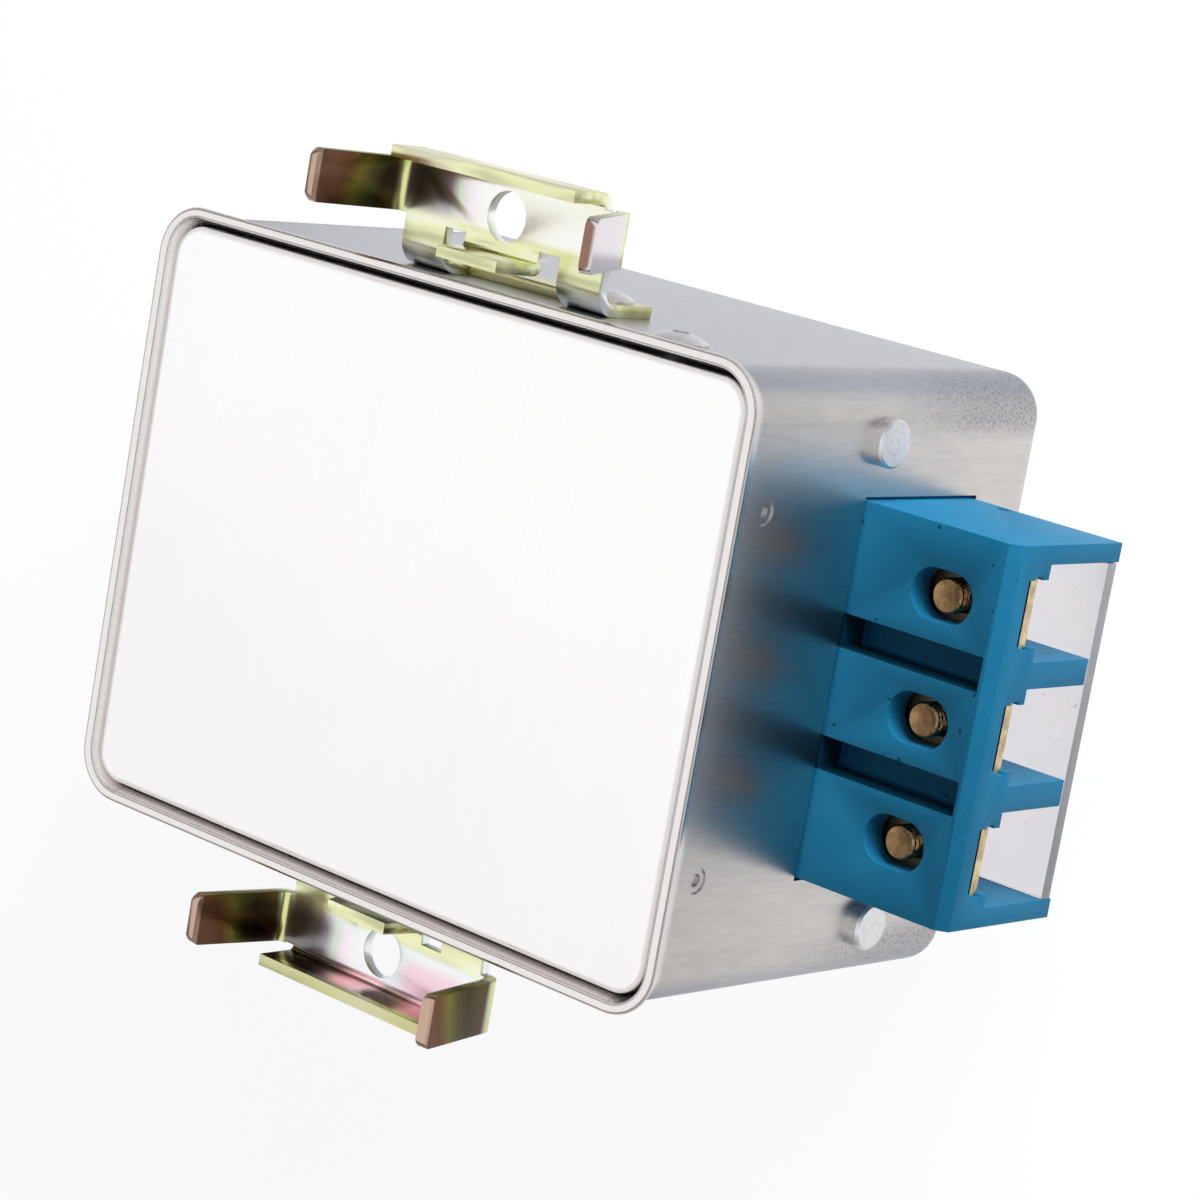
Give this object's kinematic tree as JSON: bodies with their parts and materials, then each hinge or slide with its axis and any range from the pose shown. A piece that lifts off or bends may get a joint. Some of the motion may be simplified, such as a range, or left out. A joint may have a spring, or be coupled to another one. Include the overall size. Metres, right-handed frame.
{
  "type": "line filter",
  "caption": "Mains line filter in a drawn steel case with yellow rail clips on its base side and covered screw terminal blocks at both ends.",
  "frame": {"origin": "centre of the closed face of the case, on the plane it rests on", "axes": "+X towards the line-side terminal block, +Y towards the upper clip, +Z out of the base plate"},
  "size_m": [0.1328, 0.0986, 0.0597],
  "materials": {
    "tinned_steel": "satin plated deep-drawn steel",
    "bright_steel": "bright satin plated steel sheet",
    "yellow_steel": "yellow iridescent zinc passivate",
    "rivet_steel": "bright plated steel",
    "blue_plastic": "satin moulded blue plastic",
    "clear_plastic": "clear moulded plastic",
    "tan_brass": "bare stamped brass",
    "dark_brass": "dull passivated brass-coloured screw",
    "zinc_steel": "zinc plated steel",
    "board_green": "glass-fibre board with solder mask",
    "nylon_white": "natural nylon",
    "ferrite": "coated ferrite ring",
    "enamelled_copper": "enamelled copper wire",
    "capacitor_yellow": "moulded capacitor case",
    "capacitor_blue": "lacquered ceramic disc",
    "resistor_tan": "lacquered resistor",
    "wire_red": "insulated wire",
    "wire_green": "insulated earth wire"
  },
  "bodies": {
    "root": {"case": "tinned_steel", "base_plate": "bright_steel", "upper_clip": "yellow_steel", "lower_clip": "yellow_steel", "clip_rivets": "rivet_steel", "plate_rivets": "rivet_steel", "block_rivets": "rivet_steel", "line_block": "blue_plastic", "load_block": "blue_plastic", "line_cover": "clear_plastic", "load_cover": "clear_plastic", "line_terminals": "tan_brass", "load_terminals": "tan_brass", "line_screws": "dark_brass", "load_screws": "dark_brass", "line_washers": "zinc_steel", "load_washers": "zinc_steel", "circuit_board": "board_green", "board_spacers": "nylon_white", "choke_core": "ferrite", "choke_base": "nylon_white", "line_winding": "enamelled_copper", "neutral_winding": "enamelled_copper", "line_x_capacitor": "capacitor_yellow", "load_x_capacitor": "capacitor_yellow", "y_capacitors": "capacitor_blue", "bleed_resistor": "resistor_tan", "line_wires": "wire_red", "load_wires": "wire_red", "earth_tags": "tan_brass", "earth_wires": "wire_green"}
  },
  "joints": []
}
